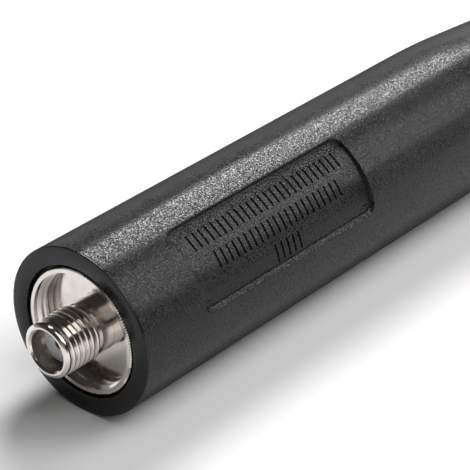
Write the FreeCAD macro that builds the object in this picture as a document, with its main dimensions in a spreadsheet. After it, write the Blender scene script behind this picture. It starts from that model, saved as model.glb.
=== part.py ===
import FreeCAD, Part
import Sketcher
import math
import os
from FreeCAD import Placement, Rotation, Vector

# Foldable whip antenna for a handheld radio, lying along +X with its connector end at the
# origin. X is measured from the end face of the moulded base, in millimetres, and grows
# towards the tip. Radii are measured from the X axis, which is the axis of every turned piece.

doc = FreeCAD.newDocument("foldable_antenna")

# Driving sizes: name and millimetres, or degrees where the name says angle
DRIVING = [
    # moulded base
    ("base_radius", 9.75),
    ("cylinder_length", 66.0),
    ("cone_length", 60.0),
    ("nose_radius", 5.5),
    ("shoulder_blend", 110.0),
    ("face_edge_chamfer", 0.2),
    ("nose_edge_chamfer", 0.4),
    ("mouth_radius", 7.65),
    ("mouth_depth", 0.9),
    # recessed label panel on the cylinder
    ("label_front", 9.4),
    ("label_length", 28.9),
    ("label_angle", 60.6),
    ("label_tilt_angle", 141.4),
    ("label_depth", 0.45),
    ("label_corner", 1.3),
    ("cutter_reach", 1.0),
    # threaded collar
    ("collar_radius", 7.3),
    ("collar_recess", 0.1),
    ("collar_length", 9.0),
    ("collar_bore", 6.5),
    ("collar_rim_chamfer", 0.15),
    ("floor_depth", 2.2),
    ("floor_thickness", 1.8),
    ("collar_groove_front", 5.2),
    ("collar_groove_width", 1.6),
    ("collar_groove_depth", 0.5),
    ("collar_rear_bore", 5.4),
    ("spigot_length", 3.0),
    # jack
    ("jack_reach", 4.93),
    ("thread_radius", 3.175),
    ("thread_chamfer", 0.35),
    ("thread_runout", 0.4),
    ("jack_neck_radius", 3.0),
    ("jack_mouth_radius", 2.31),
    ("jack_mouth_chamfer", 0.15),
    ("contact_plane_depth", 1.93),
    ("dielectric_radius", 2.055),
    ("dielectric_rear_reach", 0.8),
    ("flange_radius", 5.0),
    ("flange_thickness", 1.4),
    ("jack_rear_radius", 2.6),
    ("jack_rear_length", 4.5),
    ("seal_thickness", 0.5),
    ("seal_radius", 4.6),
    ("ring_thickness", 2.5),
    ("ring_bore", 2.9),
    ("ring_slot_width", 1.4),
    ("ring_slot_depth", 0.8),
    # centre contact
    ("contact_radius", 0.635),
    ("socket_radius", 0.46),
    ("socket_depth", 3.0),
    ("socket_slot_width", 0.16),
    ("socket_slot_length", 2.2),
    ("tail_radius", 0.45),
    ("tail_length", 4.8),
    # core tube
    ("core_wall", 1.0),
    ("core_end_room", 3.0),
    ("stem_radius", 4.3),
    ("stem_end_margin", 13.0),
    # matching board and what it carries
    ("board_margin", 1.15),
    ("board_length", 44.5),
    ("board_width", 13.4),
    ("board_thickness", 1.0),
    ("series_choke_margin", 7.0),
    ("shunt_choke_margin", 26.0),
    ("choke_length", 5.0),
    ("choke_width", 5.0),
    ("choke_height", 3.0),
    ("chip_length", 3.2),
    ("chip_width", 2.5),
    ("chip_height", 1.2),
    ("chip_margin", 9.0),
    ("chip_gap", 0.5),
    ("strap_width", 3.0),
    ("strap_thickness", 0.2),
    ("strap_lap", 7.0),
    ("strap_drop", 6.0),
    # lower ferrule, its pin and the feed lead
    ("ferrule_shank_radius", 3.0),
    ("ferrule_shank_length", 7.0),
    ("ferrule_flange_radius", 3.6),
    ("ferrule_flange_thickness", 2.0),
    ("spring_seat_radius", 1.9),
    ("spring_seat_length", 10.0),
    ("lead_hole_depth", 6.0),
    ("feed_hole_depth", 2.5),
    ("feed_lead_lap", 4.0),
    ("pin_radius", 0.8),
    ("pin_margin", 2.8),
    ("pin_half_length", 4.2),
    # folding neck
    ("neck_length", 60.0),
    ("neck_radius", 4.7),
    ("sleeve_grip", 9.0),
    ("sleeve_grip_radius", 3.6),
    ("strip_thickness", 0.8),
    ("strip_width", 8.0),
    ("strip_pitch", 9.8),
    ("neck_lead_radius", 0.9),
    # whip
    ("whip_length", 124.0),
    ("whip_root_radius", 4.9),
    ("whip_flare", 24.0),
    ("whip_end_radius", 4.0),
    ("whip_shank_radius", 2.2),
    ("whip_shank_length", 10.0),
    ("rod_radius", 1.0),
    ("rod_grip", 8.0),
    ("cap_grip", 8.0),
    ("cap_grip_radius", 3.45),
    ("cap_radius", 4.5),
    ("cap_length", 20.0),
    ("cap_nose_length", 3.4),
    ("cap_edge_chamfer", 0.4),
    ("rod_end_hold", 2.0),
    # clearances
    ("slip_fit", 0.02),
    ("spring_clearance", 0.05),
    ("sleeve_clearance", 0.05),
    ("spring_bore_clearance", 0.1),
    ("board_clearance", 0.05),
]

# Places along X and dependent sizes, each worked out from the driving sizes
DERIVED = [
    ("nose_end", "=cylinder_length + cone_length"),
    ("cone_angle", "=atan((base_radius - nose_radius) / cone_length)"),
    ("shoulder_reach", "=shoulder_blend * tan(cone_angle / 2)"),
    ("shoulder_start", "=cylinder_length - shoulder_reach"),
    ("shoulder_end", "=cylinder_length + shoulder_reach * cos(cone_angle)"),
    ("shoulder_end_radius", "=base_radius - shoulder_reach * sin(cone_angle)"),
    ("label_end", "=label_front + label_length"),
    ("label_floor", "=base_radius - label_depth"),
    ("label_over", "=base_radius + cutter_reach"),
    ("collar_rim", "=collar_recess"),
    ("collar_end", "=collar_recess + collar_length"),
    ("collar_groove_rear", "=collar_groove_front + collar_groove_width"),
    ("collar_groove_radius", "=collar_radius - collar_groove_depth"),
    ("spigot_end", "=collar_end + spigot_length"),
    ("core_bore", "=collar_radius - core_wall"),
    ("spigot_radius", "=core_bore - slip_fit"),
    ("floor_rear", "=floor_depth + floor_thickness"),
    ("floor_hole", "=jack_neck_radius + slip_fit"),
    ("jack_mouth", "=0 - jack_reach"),
    ("contact_plane", "=contact_plane_depth - jack_reach"),
    ("flange_front", "=floor_rear + seal_thickness"),
    ("flange_rear", "=flange_front + flange_thickness"),
    ("ring_rear", "=flange_rear + ring_thickness"),
    ("ring_slot_front", "=ring_rear - ring_slot_depth"),
    ("jack_rear", "=flange_rear + jack_rear_length"),
    ("dielectric_rear", "=jack_rear + dielectric_rear_reach"),
    ("socket_floor", "=contact_plane + socket_depth"),
    ("socket_slot_end", "=contact_plane + socket_slot_length"),
    ("tail_end", "=dielectric_rear + tail_length"),
    ("board_front", "=spigot_end + board_margin"),
    ("board_rear", "=board_front + board_length"),
    ("core_chamber_end", "=board_rear + core_end_room"),
    ("core_step", "=core_chamber_end + core_wall"),
    ("stem_end", "=nose_end - stem_end_margin"),
    ("board_top", "=0 - tail_radius"),
    ("board_middle", "=board_top - board_thickness / 2"),
    ("board_under", "=board_top - board_thickness"),
    ("board_slot_end", "=board_rear + board_clearance"),
    ("board_slot_half", "=board_width / 2 + board_clearance"),
    ("board_slot_height", "=board_thickness + 2 * board_clearance"),
    ("series_choke_front", "=board_front + series_choke_margin"),
    ("shunt_choke_front", "=board_front + shunt_choke_margin"),
    ("front_chip_start", "=board_front + chip_margin"),
    ("rear_chip_start", "=board_rear - chip_margin"),
    ("chip_side", "=choke_width / 2 + chip_gap"),
    ("strap_under", "=board_under - strap_thickness"),
    ("strap_foot", "=spigot_end + strap_thickness"),
    ("strap_end", "=spigot_end + strap_lap"),
    ("strap_low", "=0 - strap_drop"),
    ("seat_front", "=stem_end + ferrule_flange_thickness"),
    ("seat_end", "=seat_front + spring_seat_length"),
    ("ferrule_front", "=stem_end - ferrule_shank_length"),
    ("lower_lead_floor", "=seat_end - lead_hole_depth"),
    ("feed_hole_floor", "=ferrule_front + feed_hole_depth"),
    ("feed_lead_start", "=board_rear - feed_lead_lap"),
    ("feed_hole", "=tail_radius + slip_fit"),
    ("lead_hole", "=neck_lead_radius + slip_fit"),
    ("pin_place", "=stem_end - pin_margin"),
    ("whip_root", "=nose_end + neck_length"),
    ("upper_flange_front", "=whip_root + (nose_end - seat_front)"),
    ("upper_flange_rear", "=upper_flange_front + ferrule_flange_thickness"),
    ("upper_seat_start", "=upper_flange_front - spring_seat_length"),
    ("upper_lead_floor", "=upper_seat_start + lead_hole_depth"),
    ("shank_end", "=upper_flange_rear + whip_shank_length"),
    ("rod_start", "=shank_end - rod_grip"),
    ("whip_flare_end", "=whip_root + whip_flare"),
    ("whip_end", "=whip_root + whip_length"),
    ("grip_end", "=whip_end + cap_grip"),
    ("rod_end", "=grip_end + rod_end_hold"),
    ("tip", "=whip_end + cap_length"),
    ("nose_wide", "=tip - cap_nose_length"),
    ("nose_middle", "=tip - cap_nose_length * (1 - sin(30 deg))"),
    ("nose_narrow", "=tip - cap_nose_length * (1 - sin(60 deg))"),
    ("nose_middle_radius", "=cap_radius - cap_nose_length * (1 - cos(30 deg))"),
    ("nose_narrow_radius", "=cap_radius - cap_nose_length * (1 - cos(60 deg))"),
    ("nose_tip_radius", "=cap_radius - cap_nose_length"),
    ("grip_bore", "=sleeve_grip_radius + sleeve_clearance"),
    ("spring_bore", "=spring_seat_radius + spring_clearance"),
    ("spring_radius", "=spring_bore + strip_thickness"),
    ("sleeve_bore", "=spring_radius + spring_bore_clearance"),
    ("spring_start", "=seat_front + spring_bore_clearance"),
    ("spring_strip_end", "=spring_start + strip_width"),
    ("spring_rise", "=upper_flange_front - seat_front - 2 * spring_bore_clearance - strip_width"),
    ("sleeve_start", "=nose_end - sleeve_grip"),
    ("sleeve_front", "=nose_end + sleeve_clearance"),
    ("sleeve_rear", "=whip_root - sleeve_clearance"),
    ("sleeve_end", "=whip_root + sleeve_grip"),
]

sheet = doc.addObject("Spreadsheet::Sheet", "Sizes")
for row, (name, value) in enumerate(DRIVING + DERIVED, start=1):
    sheet.set(f"A{row}", name)
    sheet.set(f"B{row}", str(value))
    sheet.setAlias(f"B{row}", name)
doc.recompute()


def size(name):
    """Number that a cell of the sheet holds, for first guesses and edge searches."""
    return float(sheet.get(name))


def origin_plane(body, role):
    return next(f for f in body.Origin.OriginFeatures if f.Role == role)


def new_body(name):
    body = doc.addObject("PartDesign::Body", name)
    body.Label = name
    return body


def new_sketch(body, name, role="XY_Plane", level=None, turn=None):
    """Sketch on an origin plane, lifted by one cell or turned about X by another."""
    sketch = body.newObject("Sketcher::SketchObject", name)
    sketch.AttachmentSupport = (origin_plane(body, role), [""])
    sketch.MapMode = "FlatFace"
    if level:
        sketch.setExpression("AttachmentOffset.Base.z", f"Sizes.{level}")
    if turn:
        sketch.AttachmentOffset = Placement(Vector(0, 0, 0), Rotation(Vector(1, 0, 0), 1))
        sketch.setExpression("AttachmentOffset.Rotation.Angle", f"Sizes.{turn}")
    return sketch


def spot(cell):
    """Number for one corner coordinate: a cell, a cell after a minus sign, or zero."""
    if cell in ("face", "axis"):
        return 0.0
    return -size(cell[1:]) if cell.startswith("-") else size(cell)


def bind_point(sketch, line, point, across, up):
    """Tie one end of a line to cells: face is the plane of the end face, axis the X axis."""
    for kind, cell, zero_line in (("DistanceX", across, -2), ("DistanceY", up, -1)):
        if cell in ("face", "axis"):
            sketch.addConstraint(Sketcher.Constraint("PointOnObject", line, point, zero_line))
            continue
        index = sketch.addConstraint(Sketcher.Constraint(kind, -1, 1, line, point, spot(cell)))
        sign = "-" if cell.startswith("-") else ""
        sketch.setExpression(f"Constraints[{index}]", f"{sign}Sizes.{cell.lstrip('-')}")


def outline(sketch, corners):
    """Closed outline through corners of two cells each; a third is the radius of an arc that
    leads on to the next corner, bulging away from the X axis."""
    places = [Vector(spot(corner[0]), spot(corner[1]), 0) for corner in corners]
    ends = []
    for corner, start, end in zip(corners, places, places[1:] + places[:1]):
        if len(corner) == 2:
            ends.append((sketch.addGeometry(Part.LineSegment(start, end), False), 1, 2))
        else:
            ends.append((rounded_run(sketch, start, end, corner[2]), 2, 1))
    for number, (run, first, _) in enumerate(ends):
        arriving, _, last = ends[number - 1]
        sketch.addConstraint(Sketcher.Constraint("Coincident", arriving, last, run, first))
        bind_point(sketch, run, first, *corners[number][:2])


def rounded_run(sketch, start, end, radius):
    """Arc of a given radius between two corners."""
    chord = end - start
    half = chord.Length / 2
    upward = Vector(-chord.y, chord.x, 0).normalize()
    rise = size(radius) - math.sqrt(size(radius) ** 2 - half ** 2)
    arc = sketch.addGeometry(Part.Arc(start, start + chord / 2 + upward * rise, end), False)
    index = sketch.addConstraint(Sketcher.Constraint("Radius", arc, size(radius)))
    sketch.setExpression(f"Constraints[{index}]", f"Sizes.{radius}")
    return arc


def turned(name, corners):
    """Piece turned about the X axis from an outline of (place, radius) corners."""
    body = new_body(name)
    sketch = new_sketch(body, f"{name}_profile")
    outline(sketch, corners)
    turn = body.newObject("PartDesign::Revolution", f"{name}_turn")
    turn.Profile = sketch
    turn.ReferenceAxis = (sketch, ["H_Axis"])
    turn.Angle = 360
    doc.recompute()
    return body


def rings_at(shape, place, radius):
    """Names of the circular edges that run round X at a place and radius."""
    found = []
    for number, edge in enumerate(shape.Edges, start=1):
        curve = edge.Curve
        if not isinstance(curve, Part.Circle):
            continue
        on_axis = math.hypot(curve.Center.y, curve.Center.z) < 1e-6
        if on_axis and abs(curve.Center.x - place) < 1e-4 and abs(curve.Radius - radius) < 1e-4:
            found.append(f"Edge{number}")
    return found


def soften(body, kind, cell, edges):
    """Fillet or chamfer on named edges of a body's last feature, sized by a cell."""
    base = body.Tip
    feature = body.newObject(f"PartDesign::{kind}", f"{body.Name}_{cell}")
    feature.Base = (base, edges)
    feature.setExpression("Radius" if kind == "Fillet" else "Size", f"Sizes.{cell}")
    doc.recompute()
    return feature


def slab_pocket(body, name, role, corners, thickness, level=None):
    """Flat slot cut through a piece, of even thickness each side of its sketch."""
    sketch = new_sketch(body, f"{name}_shape", role, level)
    outline(sketch, corners)
    pocket = body.newObject("PartDesign::Pocket", name)
    pocket.Profile = sketch
    pocket.SideType = "Symmetric"
    pocket.setExpression("Length", f"Sizes.{thickness}")
    doc.recompute()
    return pocket


def cross_hole(body, name, place, radius, reach):
    """Round hole across a piece along Y, centred on the X axis."""
    sketch = new_sketch(body, f"{name}_shape", "XZ_Plane")
    circle = sketch.addGeometry(Part.Circle(Vector(size(place), 0, 0), Vector(0, 0, 1), size(radius)))
    bind_point(sketch, circle, 3, place, "axis")
    index = sketch.addConstraint(Sketcher.Constraint("Radius", circle, size(radius)))
    sketch.setExpression(f"Constraints[{index}]", f"Sizes.{radius}")
    pocket = body.newObject("PartDesign::Pocket", name)
    pocket.Profile = sketch
    pocket.SideType = "Symmetric"
    pocket.setExpression("Length", f"2 * Sizes.{reach}")
    doc.recompute()
    return pocket


def wound(name, strip, turns):
    """Strip wound round the X axis, from the four corners of its section."""
    body = new_body(name)
    section = new_sketch(body, f"{name}_section")
    outline(section, strip)
    winding = body.newObject("PartDesign::AdditiveHelix", f"{name}_winding")
    winding.Profile = section
    winding.ReferenceAxis = (section, ["H_Axis"])
    winding.Mode = "pitch-height-angle"
    for side, text in turns.items():
        winding.setExpression(side, text)
    doc.recompute()
    return body


def block(name, sizes, corner):
    """Plain block from three sizes and its low corner, all given as sheet expressions."""
    box = doc.addObject("Part::Box", name)
    box.Label = name
    for side, text in zip(("Length", "Width", "Height"), sizes):
        box.setExpression(side, text)
    for axis, text in zip("xyz", corner):
        box.setExpression(f"Placement.Base.{axis}", text)
    return box


# Moulded base: a cylinder with a long cone, turned with the cavity that holds the collar, the
# core tube and the root of the neck, then cut for the label panel
housing = turned("base_housing", [
    ("face", "mouth_radius"),
    ("face", "base_radius"),
    ("shoulder_start", "base_radius", "shoulder_blend"),
    ("shoulder_end", "shoulder_end_radius"),
    ("nose_end", "nose_radius"),
    ("nose_end", "grip_bore"),
    ("stem_end", "grip_bore"),
    ("stem_end", "stem_radius"),
    ("core_step", "stem_radius"),
    ("core_step", "collar_radius"),
    ("collar_groove_rear", "collar_radius"),
    ("collar_groove_rear", "collar_groove_radius"),
    ("collar_groove_front", "collar_groove_radius"),
    ("collar_groove_front", "collar_radius"),
    ("mouth_depth", "collar_radius"),
    ("mouth_depth", "mouth_radius"),
])

soften(housing, "Chamfer", "face_edge_chamfer", rings_at(housing.Shape, 0, size("base_radius")))
soften(housing, "Chamfer", "nose_edge_chamfer",
       rings_at(housing.Shape, size("nose_end"), size("nose_radius")))

# Label panel: a shallow recess that follows the cylinder, with round corners
panel = new_sketch(housing, "label_profile", turn="label_tilt_angle")
outline(panel, [
    ("label_front", "label_floor"),
    ("label_front", "label_over"),
    ("label_end", "label_over"),
    ("label_end", "label_floor"),
])
recess = housing.newObject("PartDesign::Groove", "label_recess")
recess.Profile = panel
recess.ReferenceAxis = (panel, ["H_Axis"])
recess.Midplane = True
recess.setExpression("Angle", "Sizes.label_angle")
doc.recompute()


def panel_corners(shape):
    """The four short radial edges at the corners of the label recess."""
    ends = (size("label_front"), size("label_end"))
    found = []
    for number, edge in enumerate(shape.Edges, start=1):
        first, last = edge.firstVertex().Point, edge.lastVertex().Point
        radial = abs(first.x - last.x) < 1e-6 and abs(edge.Length - size("label_depth")) < 1e-4
        if radial and any(abs(first.x - end) < 1e-6 for end in ends):
            found.append(f"Edge{number}")
    return found


soften(housing, "Fillet", "label_corner", panel_corners(housing.Shape))

# Threaded collar: a cup with a floor, a grip groove for the moulding and a spigot for the tube;
# its fine inner thread is left plain at the thread's crest
collar = turned("threaded_collar", [
    ("collar_rim", "collar_bore"),
    ("collar_rim", "collar_radius"),
    ("collar_groove_front", "collar_radius"),
    ("collar_groove_front", "collar_groove_radius"),
    ("collar_groove_rear", "collar_groove_radius"),
    ("collar_groove_rear", "collar_radius"),
    ("collar_end", "collar_radius"),
    ("collar_end", "spigot_radius"),
    ("spigot_end", "spigot_radius"),
    ("spigot_end", "collar_rear_bore"),
    ("floor_rear", "collar_rear_bore"),
    ("floor_rear", "floor_hole"),
    ("floor_depth", "floor_hole"),
    ("floor_depth", "collar_bore"),
])
rim = size("collar_rim")
soften(collar, "Chamfer", "collar_rim_chamfer",
       rings_at(collar.Shape, rim, size("collar_radius")) +
       rings_at(collar.Shape, rim, size("collar_bore")))

# Jack: threaded barrel, neck through the collar floor, flange behind it and a rear barrel;
# its fine outer thread is left plain at the thread's crest
jack = turned("sma_jack", [
    ("jack_mouth", "jack_mouth_radius"),
    ("jack_mouth", "thread_radius"),
    ("thread_runout", "thread_radius"),
    ("thread_runout", "jack_neck_radius"),
    ("flange_front", "jack_neck_radius"),
    ("flange_front", "flange_radius"),
    ("flange_rear", "flange_radius"),
    ("flange_rear", "jack_rear_radius"),
    ("jack_rear", "jack_rear_radius"),
    ("jack_rear", "dielectric_radius"),
    ("contact_plane", "dielectric_radius"),
    ("contact_plane", "jack_mouth_radius"),
])
mouth = size("jack_mouth")
soften(jack, "Chamfer", "thread_chamfer", rings_at(jack.Shape, mouth, size("thread_radius")))
soften(jack, "Chamfer", "jack_mouth_chamfer",
       rings_at(jack.Shape, mouth, size("jack_mouth_radius")))

turned("jack_dielectric", [
    ("contact_plane", "contact_radius"),
    ("contact_plane", "dielectric_radius"),
    ("dielectric_rear", "dielectric_radius"),
    ("dielectric_rear", "contact_radius"),
])

# Centre contact: drilled at the front and slit twice, so that the socket springs on a pin
contact = turned("centre_contact", [
    ("contact_plane", "socket_radius"),
    ("contact_plane", "contact_radius"),
    ("dielectric_rear", "contact_radius"),
    ("dielectric_rear", "tail_radius"),
    ("tail_end", "tail_radius"),
    ("tail_end", "axis"),
    ("socket_floor", "axis"),
    ("socket_floor", "socket_radius"),
])
for role in ("XY_Plane", "XZ_Plane"):
    slab_pocket(contact, f"socket_slit_{role[:2]}", role, [
        ("jack_mouth", "-dielectric_radius"),
        ("socket_slot_end", "-dielectric_radius"),
        ("socket_slot_end", "dielectric_radius"),
        ("jack_mouth", "dielectric_radius"),
    ], "socket_slot_width")

turned("jack_seal", [
    ("floor_rear", "jack_neck_radius"),
    ("floor_rear", "seal_radius"),
    ("flange_front", "seal_radius"),
    ("flange_front", "jack_neck_radius"),
])

# Lock ring: screwed into the collar behind the jack's flange, with a slot for a driver
ring = turned("jack_lock_ring", [
    ("flange_rear", "ring_bore"),
    ("flange_rear", "collar_rear_bore"),
    ("ring_rear", "collar_rear_bore"),
    ("ring_rear", "ring_bore"),
])
slab_pocket(ring, "driver_slot", "XY_Plane", [
    ("ring_slot_front", "-collar_radius"),
    ("jack_rear", "-collar_radius"),
    ("jack_rear", "collar_radius"),
    ("ring_slot_front", "collar_radius"),
], "ring_slot_width")

# Core tube: a chamber that slips over the collar's spigot, with grooves in its wall for the edges
# of the board, and a narrow stem through the cone that ends at the lower ferrule
core = turned("core_tube", [
    ("collar_end", "core_bore"),
    ("collar_end", "collar_radius"),
    ("core_step", "collar_radius"),
    ("core_step", "stem_radius"),
    ("stem_end", "stem_radius"),
    ("stem_end", "ferrule_shank_radius"),
    ("core_chamber_end", "ferrule_shank_radius"),
    ("core_chamber_end", "core_bore"),
])
slab_pocket(core, "board_grooves", "XY_Plane", [
    ("collar_end", "-board_slot_half"),
    ("board_slot_end", "-board_slot_half"),
    ("board_slot_end", "board_slot_half"),
    ("collar_end", "board_slot_half"),
], "board_slot_height", "board_middle")
cross_hole(core, "core_pin_hole", "pin_place", "pin_radius", "collar_radius")

# Matching board with its chokes, chip capacitors and ground strap
block("matching_board",
      ("Sizes.board_length", "Sizes.board_width", "Sizes.board_thickness"),
      ("Sizes.board_front", "-Sizes.board_width / 2", "Sizes.board_under"))
choke = ("Sizes.choke_length", "Sizes.choke_width", "Sizes.choke_height")
for name in ("series_choke", "shunt_choke"):
    block(name, choke, (f"Sizes.{name}_front", "-Sizes.choke_width / 2", "Sizes.board_top"))
chip = ("Sizes.chip_length", "Sizes.chip_width", "Sizes.chip_height")
block("capacitor_front", chip, ("Sizes.front_chip_start", "Sizes.chip_side", "Sizes.board_top"))
block("capacitor_rear", chip,
      ("Sizes.rear_chip_start", "-Sizes.chip_side - Sizes.chip_width", "Sizes.board_top"))

strap = new_body("ground_strap")
strap_shape = new_sketch(strap, "ground_strap_shape", "XZ_Plane")
outline(strap_shape, [
    ("spigot_end", "board_under"),
    ("strap_end", "board_under"),
    ("strap_end", "strap_under"),
    ("strap_foot", "strap_under"),
    ("strap_foot", "strap_low"),
    ("spigot_end", "strap_low"),
])
strap_pad = strap.newObject("PartDesign::Pad", "ground_strap_pad")
strap_pad.Profile = strap_shape
strap_pad.SideType = "Symmetric"
strap_pad.setExpression("Length", "Sizes.strap_width")

turned("feed_lead", [
    ("feed_lead_start", "axis"),
    ("feed_lead_start", "tail_radius"),
    ("feed_hole_floor", "tail_radius"),
    ("feed_hole_floor", "axis"),
])

# Lower ferrule: shank in the core tube's stem, flange on its end, seat for the spring, a
# hole at each end for the feed lead and the neck lead, and a cross pin through the shank
lower = turned("lower_ferrule", [
    ("feed_hole_floor", "axis"),
    ("feed_hole_floor", "feed_hole"),
    ("ferrule_front", "feed_hole"),
    ("ferrule_front", "ferrule_shank_radius"),
    ("stem_end", "ferrule_shank_radius"),
    ("stem_end", "ferrule_flange_radius"),
    ("seat_front", "ferrule_flange_radius"),
    ("seat_front", "spring_seat_radius"),
    ("seat_end", "spring_seat_radius"),
    ("seat_end", "lead_hole"),
    ("lower_lead_floor", "lead_hole"),
    ("lower_lead_floor", "axis"),
])
cross_hole(lower, "ferrule_pin_hole", "pin_place", "pin_radius", "collar_radius")

pin = doc.addObject("Part::Cylinder", "ferrule_pin")
pin.Label = "ferrule_pin"
pin.setExpression("Radius", "Sizes.pin_radius")
pin.setExpression("Height", "2 * Sizes.pin_half_length")
pin.Placement = Placement(Vector(0, 0, 0), Rotation(Vector(1, 0, 0), 90))
pin.setExpression("Placement.Base.x", "Sizes.pin_place")
pin.setExpression("Placement.Base.y", "Sizes.pin_half_length")

# Folding neck: a strip-wound spring between the two ferrules, the flexible lead inside it and a
# smooth sleeve whose ends sink into the base and the whip
wound("neck_spring", [
    ("spring_start", "spring_bore"),
    ("spring_start", "spring_radius"),
    ("spring_strip_end", "spring_radius"),
    ("spring_strip_end", "spring_bore"),
], {"Pitch": "Sizes.strip_pitch", "Height": "Sizes.spring_rise"})

turned("neck_lead", [
    ("lower_lead_floor", "axis"),
    ("lower_lead_floor", "neck_lead_radius"),
    ("upper_lead_floor", "neck_lead_radius"),
    ("upper_lead_floor", "axis"),
])

turned("neck_sleeve", [
    ("sleeve_start", "sleeve_bore"),
    ("sleeve_start", "sleeve_grip_radius"),
    ("sleeve_front", "sleeve_grip_radius"),
    ("sleeve_front", "neck_radius"),
    ("sleeve_rear", "neck_radius"),
    ("sleeve_rear", "sleeve_grip_radius"),
    ("sleeve_end", "sleeve_grip_radius"),
    ("sleeve_end", "sleeve_bore"),
])

# Whip: ferrule, spring-steel rod, insulating tube, jacket and rounded cap
turned("upper_ferrule", [
    ("upper_seat_start", "lead_hole"),
    ("upper_seat_start", "spring_seat_radius"),
    ("upper_flange_front", "spring_seat_radius"),
    ("upper_flange_front", "ferrule_flange_radius"),
    ("upper_flange_rear", "ferrule_flange_radius"),
    ("upper_flange_rear", "whip_shank_radius"),
    ("shank_end", "whip_shank_radius"),
    ("shank_end", "rod_radius"),
    ("rod_start", "rod_radius"),
    ("rod_start", "axis"),
    ("upper_lead_floor", "axis"),
    ("upper_lead_floor", "lead_hole"),
])
turned("radiator_rod", [
    ("rod_start", "axis"),
    ("rod_start", "rod_radius"),
    ("rod_end", "rod_radius"),
    ("rod_end", "axis"),
])
turned("whip_core", [
    ("shank_end", "rod_radius"),
    ("shank_end", "whip_shank_radius"),
    ("grip_end", "whip_shank_radius"),
    ("grip_end", "rod_radius"),
])
turned("whip_jacket", [
    ("whip_root", "grip_bore"),
    ("whip_root", "whip_root_radius"),
    ("whip_flare_end", "whip_end_radius"),
    ("whip_end", "whip_end_radius"),
    ("whip_end", "cap_grip_radius"),
    ("grip_end", "cap_grip_radius"),
    ("grip_end", "whip_shank_radius"),
    ("upper_flange_rear", "whip_shank_radius"),
    ("upper_flange_rear", "grip_bore"),
])
cap = turned("tip_cap", [
    ("whip_end", "cap_grip_radius"),
    ("whip_end", "cap_radius"),
    ("nose_wide", "cap_radius"),
    ("nose_middle", "nose_middle_radius"),
    ("nose_narrow", "nose_narrow_radius"),
    ("tip", "nose_tip_radius"),
    ("tip", "axis"),
    ("rod_end", "axis"),
    ("rod_end", "rod_radius"),
    ("grip_end", "rod_radius"),
    ("grip_end", "cap_grip_radius"),
])
soften(cap, "Chamfer", "cap_edge_chamfer",
       rings_at(cap.Shape, size("whip_end"), size("cap_radius")))

doc.recompute()
for item in doc.Objects:
    if "Invalid" in item.State or "Error" in item.State:
        raise RuntimeError(f"{item.Name} did not build: {item.State}")

os.makedirs("parts", exist_ok=True)
pieces = [o for o in doc.Objects if o.isDerivedFrom("PartDesign::Body") or
          o.isDerivedFrom("Part::Box") or o.isDerivedFrom("Part::Cylinder")]
for piece in pieces:
    shape = piece.Shape
    if shape.isNull() or not shape.isValid() or not shape.Solids:
        raise RuntimeError(f"{piece.Label} is not a valid solid")
    shape.exportStep(os.path.join("parts", f"{piece.Label}.step"))
    print(piece.Label, round(shape.Volume, 2), "mm3", len(shape.Solids))
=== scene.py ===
import math

import bmesh
import bpy
from mathutils import Matrix, Vector


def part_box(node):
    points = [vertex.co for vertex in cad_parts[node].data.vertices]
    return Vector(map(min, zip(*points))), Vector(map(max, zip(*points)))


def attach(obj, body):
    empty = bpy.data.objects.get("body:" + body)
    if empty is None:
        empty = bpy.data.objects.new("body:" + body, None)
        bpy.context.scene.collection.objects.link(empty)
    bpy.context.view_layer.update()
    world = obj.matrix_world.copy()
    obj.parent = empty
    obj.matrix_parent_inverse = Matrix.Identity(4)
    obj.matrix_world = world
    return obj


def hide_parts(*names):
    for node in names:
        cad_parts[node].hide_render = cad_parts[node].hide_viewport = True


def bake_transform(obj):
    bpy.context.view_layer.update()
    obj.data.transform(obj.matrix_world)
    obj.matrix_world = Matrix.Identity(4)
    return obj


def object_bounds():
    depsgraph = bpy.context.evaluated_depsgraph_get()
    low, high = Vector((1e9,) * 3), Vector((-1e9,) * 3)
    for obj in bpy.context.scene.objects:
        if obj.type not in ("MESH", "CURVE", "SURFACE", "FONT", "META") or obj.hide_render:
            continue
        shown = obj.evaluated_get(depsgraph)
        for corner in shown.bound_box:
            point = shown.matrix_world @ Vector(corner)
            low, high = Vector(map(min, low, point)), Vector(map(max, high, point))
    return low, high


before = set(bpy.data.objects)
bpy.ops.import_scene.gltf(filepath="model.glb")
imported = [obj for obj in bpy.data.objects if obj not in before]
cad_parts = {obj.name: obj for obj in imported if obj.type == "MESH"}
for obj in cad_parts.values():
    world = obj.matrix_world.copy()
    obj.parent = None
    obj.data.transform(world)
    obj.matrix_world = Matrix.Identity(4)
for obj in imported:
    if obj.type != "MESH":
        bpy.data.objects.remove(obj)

cad_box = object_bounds()

# Camera: stands before the jack, on the label panel's side and above it, and looks along the base
# through a long lens, level and with no shift. The picture's middle lies on the label panel.
CAMERA_PLACE = Vector((-0.13543, -0.13612, 0.12213))
CAMERA_AIM = Vector((0.02845, 0.00274, -0.00180))
PICTURE_SIDE = 470
FOCAL_PIXELS = 2171.4
SENSOR_WIDTH = 36.0

lens = bpy.data.cameras.new("camera")
lens.sensor_width = SENSOR_WIDTH
lens.lens = SENSOR_WIDTH * FOCAL_PIXELS / PICTURE_SIDE
lens.clip_start = 0.01
lens.clip_end = 50
camera = bpy.data.objects.new("camera", lens)
camera.location = CAMERA_PLACE
camera.rotation_euler = (CAMERA_AIM - CAMERA_PLACE).to_track_quat("-Z", "Y").to_euler()
bpy.context.collection.objects.link(camera)
bpy.context.scene.camera = camera
bpy.context.scene.view_settings.view_transform = "Standard"

# Table top: a plain board that the antenna lies on, white around the antenna and fading into pale
# grey further off. The fade is painted light: the board's colour darkens with distance from the
# antenna while a grey glow grows there. It isn't part of the object.
ROOM_GREY = 0.28
TABLE_SIDE = 8.0
TABLE_WHITE = (0.90, 0.90, 0.90, 1)
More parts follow.
